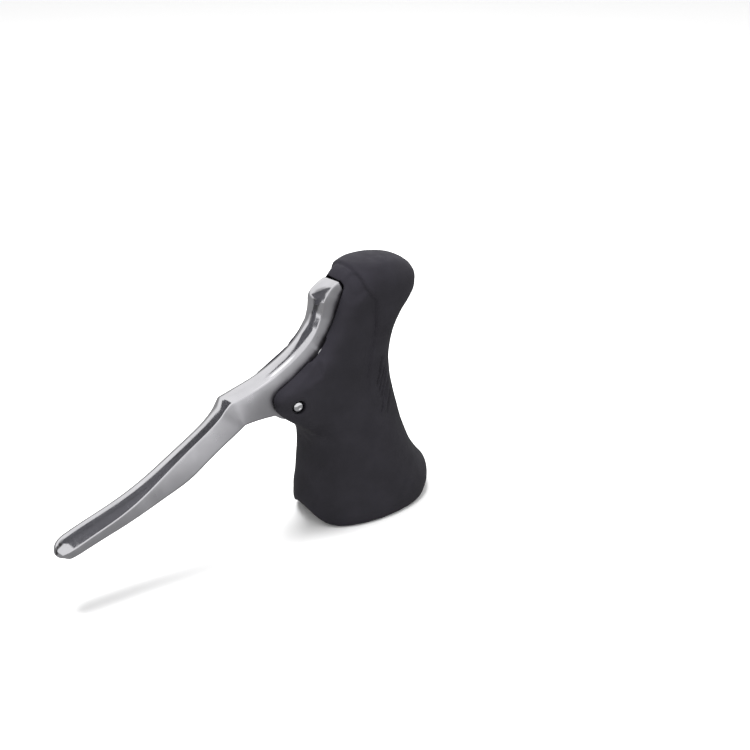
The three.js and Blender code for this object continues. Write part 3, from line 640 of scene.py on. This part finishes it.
# ------------------------------------------------------------------ materials
def material(name, base, rough, metal=0.0, specular=0.5, tint=0.12, tint_scale=220.0, rough_var=0.08, rough_scale=500.0,
             grain=None, grain_strength=0.1, wave=None, wave_strength=0.0, scratches=0.0, coat=0.0, sheen=0.0, satin_and_side_shade=0.0):
    m = bpy.data.materials.new(name)
    m.use_nodes = True
    nt = m.node_tree
    nt.nodes.clear()
    N = nt.nodes.new
    out = N("ShaderNodeOutputMaterial")
    bsdf = N("ShaderNodeBsdfPrincipled")
    nt.links.new(bsdf.outputs["BSDF"], out.inputs["Surface"])
    bsdf.inputs["Metallic"].default_value = metal
    bsdf.inputs["Specular IOR Level"].default_value = specular
    bsdf.inputs["Coat Weight"].default_value = coat
    if coat:
        bsdf.inputs["Coat Roughness"].default_value = 0.2
    if sheen:
        bsdf.inputs["Sheen Weight"].default_value = sheen
        bsdf.inputs["Sheen Roughness"].default_value = 0.5
    tc = N("ShaderNodeTexCoord")
    co = tc.outputs["Object"]

    def noise(scale, detail=3.0, rough_=0.5, stretch=None):
        v = co
        if stretch:
            mp = N("ShaderNodeMapping")
            mp.inputs["Scale"].default_value = stretch
            nt.links.new(v, mp.inputs["Vector"])
            v = mp.outputs["Vector"]
        n_ = N("ShaderNodeTexNoise")
        n_.inputs["Scale"].default_value = scale
        n_.inputs["Detail"].default_value = detail
        n_.inputs["Roughness"].default_value = rough_
        nt.links.new(v, n_.inputs["Vector"])
        return n_.outputs["Fac"]

    def remap(v, a, b, lo=0.3, hi=0.7):
        r_ = N("ShaderNodeMapRange")
        r_.inputs["From Min"].default_value = lo
        r_.inputs["From Max"].default_value = hi
        r_.inputs["To Min"].default_value = a
        r_.inputs["To Max"].default_value = b
        nt.links.new(v, r_.inputs["Value"])
        return r_.outputs["Result"]

    ramp = N("ShaderNodeValToRGB")
    lo_c = [max(0.0, c * (1 - tint)) for c in base]
    hi_c = [min(1.0, c * (1 + tint)) for c in base]
    ramp.color_ramp.elements[0].position = 0.3
    ramp.color_ramp.elements[1].position = 0.7
    ramp.color_ramp.elements[0].color = (*lo_c, 1)
    ramp.color_ramp.elements[1].color = (*hi_c, 1)
    nt.links.new(noise(tint_scale, 4.0), ramp.inputs["Fac"])
    nt.links.new(ramp.outputs["Color"], bsdf.inputs["Base Color"])

    rv = remap(noise(rough_scale, 3.0), max(0.02, rough - rough_var), min(1.0, rough + rough_var))
    if scratches:
        sc = remap(noise(900.0, 2.0, 0.6, (1.0, 0.06, 0.2)), 0.0, scratches, 0.56, 0.72)
        add = N("ShaderNodeMath")
        add.operation = "ADD"
        nt.links.new(rv, add.inputs[0])
        nt.links.new(sc, add.inputs[1])
        rv = add.outputs["Value"]
    if satin_and_side_shade:
        # the flat cheeks are linished, not mirror polished, so they get more roughness; their base colour is also
        # darkened below, a painted shade on the faces that look sideways
        ny = N("ShaderNodeSeparateXYZ")
        nt.links.new(tc.outputs["Normal"], ny.inputs["Vector"])
        side = N("ShaderNodeMath")
        side.operation = "ABSOLUTE"
        nt.links.new(ny.outputs["Y"], side.inputs[0])
        add = N("ShaderNodeMath")
        add.operation = "ADD"
        nt.links.new(rv, add.inputs[0])
        nt.links.new(remap(side.outputs["Value"], 0.0, satin_and_side_shade, 0.78, 0.96), add.inputs[1])
        # painted shade: the base colour is multiplied down on faces whose normal points sideways
        painted_cheek_shade = N("ShaderNodeMix")
        painted_cheek_shade.data_type = "RGBA"
        painted_cheek_shade.blend_type = "MULTIPLY"
        nt.links.new(remap(side.outputs["Value"], 0.0, 1.0, 0.86, 0.97), painted_cheek_shade.inputs[0])
        nt.links.new(ramp.outputs["Color"], painted_cheek_shade.inputs[6])
        painted_cheek_shade.inputs[7].default_value = (0.86, 0.86, 0.87, 1)
        nt.links.new(painted_cheek_shade.outputs[2], bsdf.inputs["Base Color"])
        rv = add.outputs["Value"]
    nt.links.new(rv, bsdf.inputs["Roughness"])

    normal = None
    for kind, scale, strength, distance in (("wave", wave, wave_strength, 0.0004), ("grain", grain, grain_strength, 0.00008)):
        if scale and strength:
            b_ = N("ShaderNodeBump")
            b_.inputs["Strength"].default_value = strength
            b_.inputs["Distance"].default_value = distance
            nt.links.new(noise(scale, 1.0 if kind == "wave" else 3.0), b_.inputs["Height"])
            if normal is not None:
                nt.links.new(normal, b_.inputs["Normal"])
            normal = b_.outputs["Normal"]
    if normal is not None:
        nt.links.new(normal, bsdf.inputs["Normal"])
    return m


MATS = {
    "hood_rubber": material("hood_rubber", (0.0162, 0.0150, 0.0200), 0.60, specular=0.20, tint=0.16, tint_scale=90, rough_var=0.06, rough_scale=240,
                            grain=5200, grain_strength=0.35, wave=260, wave_strength=0.05),
    "body_casting": material("body_casting", (0.010, 0.010, 0.011), 0.42, specular=0.4, tint=0.2, tint_scale=300, grain=2600, grain_strength=0.3),
    # the satin setting roughens the flat cheeks and also paints a shade into their base colour
    "polished_alloy": material("polished_alloy", (0.66, 0.655, 0.68), 0.12, metal=1.0, tint=0.10, tint_scale=75, rough_var=0.05, rough_scale=170,
                               grain=1400, grain_strength=0.05, wave=115, wave_strength=0.12, scratches=0.08, satin_and_side_shade=0.20),
    "pin_steel": material("pin_steel", (0.74, 0.74, 0.76), 0.12, metal=1.0, tint=0.04, rough_var=0.04, grain=3000, grain_strength=0.05),
    "plated_steel": material("plated_steel", (0.56, 0.57, 0.60), 0.30, metal=1.0, tint=0.10, tint_scale=500, rough_var=0.10, grain=2600, grain_strength=0.12),
    "band_steel": material("band_steel", (0.60, 0.60, 0.61), 0.27, metal=1.0, tint=0.06, tint_scale=300, rough_var=0.08, scratches=0.2, grain=2200, grain_strength=0.1),
    "spring_steel": material("spring_steel", (0.13, 0.13, 0.145), 0.34, metal=1.0, tint=0.2, tint_scale=900, rough_var=0.1, grain=3000, grain_strength=0.1),
    "bush_bronze": material("bush_bronze", (0.52, 0.34, 0.16), 0.38, metal=1.0, tint=0.15, tint_scale=1200, rough_var=0.1, grain=4200, grain_strength=0.25),
    "spool_nylon": material("spool_nylon", (0.62, 0.60, 0.54), 0.5, tint=0.05, tint_scale=300, grain=2000, grain_strength=0.1),
    "bumper_rubber": material("bumper_rubber", (0.010, 0.010, 0.010), 0.7, specular=0.3, tint=0.2, grain=4000, grain_strength=0.4),
}
for o, s in ((hood, "hood_rubber"), (body, "body_casting"), (lever, "polished_alloy"), (pin, "pin_steel")):
    o.data.materials.clear()
    o.data.materials.append(MATS[s])
slots = {p["node"]: p["material_slot"] for p in frame["record"]["subparts"]}
for name, o in frame["nodes"].items():
    s = slots.get(name)
    if not s:
        continue
    if not o.material_slots:
        o.data.materials.append(MATS[s])
    for ms in o.material_slots:
        ms.material = MATS[s]
    if name not in ("hood", "body_bracket", "lever_blade", "pivot_pin"):
        w = o.modifiers.new("weld", "WELD")
        w.merge_threshold = 0.000002
        bev = o.modifiers.new("edges", "BEVEL")
        bev.width = 0.00016 if name != "return_spring" else 0.00005
        bev.segments = 2
        bev.limit_method = "ANGLE"
        bev.angle_limit = math.radians(40)
        bev.harden_normals = False
        o.data.polygons.foreach_set("use_smooth", [True] * len(o.data.polygons))

# ------------------------------------------------------------------ floor and light
fm = bpy.data.meshes.new("floor")
S = 30.0
fm.from_pydata([(-S, -S, FLOOR_Z), (S, -S, FLOOR_Z), (S, S, FLOOR_Z), (-S, S, FLOOR_Z)], [], [(0, 1, 2, 3)])
floor = bpy.data.objects.new("floor", fm)
bpy.context.scene.collection.objects.link(floor)
floor_mat = material("floor_paint", (0.86, 0.86, 0.86), 0.85, specular=0.1, tint=0.004, tint_scale=3.0, rough_var=0.02)
fm.materials.append(floor_mat)
floor.visible_glossy = False

world = bpy.data.worlds.new("studio")
bpy.context.scene.world = world
world.use_nodes = True
nt = world.node_tree
nt.nodes.clear()
wout = nt.nodes.new("ShaderNodeOutputWorld")
bg = nt.nodes.new("ShaderNodeBackground")
nt.links.new(bg.outputs["Background"], wout.inputs["Surface"])
tc = nt.nodes.new("ShaderNodeTexCoord")


def lobe(direction, inner, outer_):
    """1 inside a cone about a direction, 0 outside it. Angles in degrees."""
    dot = nt.nodes.new("ShaderNodeVectorMath")
    dot.operation = "DOT_PRODUCT"
    dot.inputs[1].default_value = Vector(direction).normalized()
    nt.links.new(tc.outputs["Generated"], dot.inputs[0])
    mr = nt.nodes.new("ShaderNodeMapRange")
    mr.interpolation_type = "SMOOTHSTEP"
    mr.inputs["From Min"].default_value = math.cos(math.radians(outer_))
    mr.inputs["From Max"].default_value = math.cos(math.radians(inner))
    nt.links.new(dot.outputs["Value"], mr.inputs["Value"])
    return mr.outputs["Result"]


def combine(op, a, b):
    m = nt.nodes.new("ShaderNodeMath")
    m.operation = op
    for i, v in enumerate((a, b)):
        if isinstance(v, (int, float)):
            m.inputs[i].default_value = v
        else:
            nt.links.new(v, m.inputs[i])
    return m.outputs["Value"]


sep = nt.nodes.new("ShaderNodeSeparateXYZ")
nt.links.new(tc.outputs["Generated"], sep.inputs["Vector"])
rise = nt.nodes.new("ShaderNodeMapRange")
rise.interpolation_type = "SMOOTHSTEP"
rise.inputs["From Min"].default_value = -0.10
rise.inputs["From Max"].default_value = 0.02
rise.inputs["To Min"].default_value = 0.34
rise.inputs["To Max"].default_value = 1.0
nt.links.new(sep.outputs["Z"], rise.inputs["Value"])
level = rise.outputs["Result"]
for where, inner, outer_, depth in (((0.70, -0.69, -0.20), 7, 15, -0.4), ((0.63, -0.77, 0.08), 7, 15, -0.75), ((0.53, -0.77, 0.36), 7, 15, -0.75), ((0.42, -0.74, 0.53), 5, 13, -0.6),
                                    ((0.30, -0.87, 0.38), 4, 12, -0.55), ((0.08, -0.14, 0.98), 4, 11, 1.2), ((0.24, -0.42, 0.87), 2, 7, 0.9)):
    level = combine("ADD", level, combine("MULTIPLY", lobe(where, inner, outer_), depth))
level = combine("MAXIMUM", level, 0.07)
bg.inputs["Color"].default_value = (1.0, 1.0, 1.0, 1)
nt.links.new(level, bg.inputs["Strength"])


def area(name, loc, target, size, power, glossy=False):
    l = bpy.data.lights.new(name, "AREA")
    l.shape = "SQUARE"
    l.size = size
    l.energy = power
    o = bpy.data.objects.new(name, l)
    bpy.context.scene.collection.objects.link(o)
    o.location = loc
    o.rotation_euler = (Vector(target) - Vector(loc)).to_track_quat("-Z", "Y").to_euler()
    o.visible_glossy = glossy
    return o


area("key", (0.10, -0.12, 0.95), (0.0, 0, 0.06), 0.40, 14.0)


def flag(name, centre, facing, across, width, height):
    """Black card that only the polished metal sees."""
    m = bpy.data.meshes.new(name)
    c, f_ = Vector(centre), Vector(facing).normalized()
    u = (Vector(across) - f_ * Vector(across).dot(f_)).normalized()
    v = f_.cross(u)
    m.from_pydata([c + u * (a * width / 2) + v * (b * height / 2) for a, b in ((-1, -1), (1, -1), (1, 1), (-1, 1))], [], [(0, 1, 2, 3)])
    o = bpy.data.objects.new(name, m)
    bpy.context.scene.collection.objects.link(o)
    m.materials.append(flag_mat)
    o.visible_camera = False
    o.visible_diffuse = False
    o.visible_shadow = False
    o.visible_transmission = False
    return o


flag_mat = material("flag_cloth", (0.085, 0.085, 0.092), 0.95, specular=0.0, tint=0.1, tint_scale=30)
flag("flag_blade", (0.1165, -0.112, 0.142), (-0.10, 0.72, -0.66), (1, 0, 0), 0.137, 0.100)
flag("flag_kink", (0.076, -0.050, 0.094), (-0.3, 0.85, -0.4), (1, 0, 0), 0.036, 0.040)
flag("flag_tip", (0.124, -0.020, 0.120), (0, 0.1, -1), (1, 0, 0), 0.062, 0.070)

bpy.context.scene.view_settings.view_transform = "Standard"
bpy.context.scene.view_settings.look = "None"
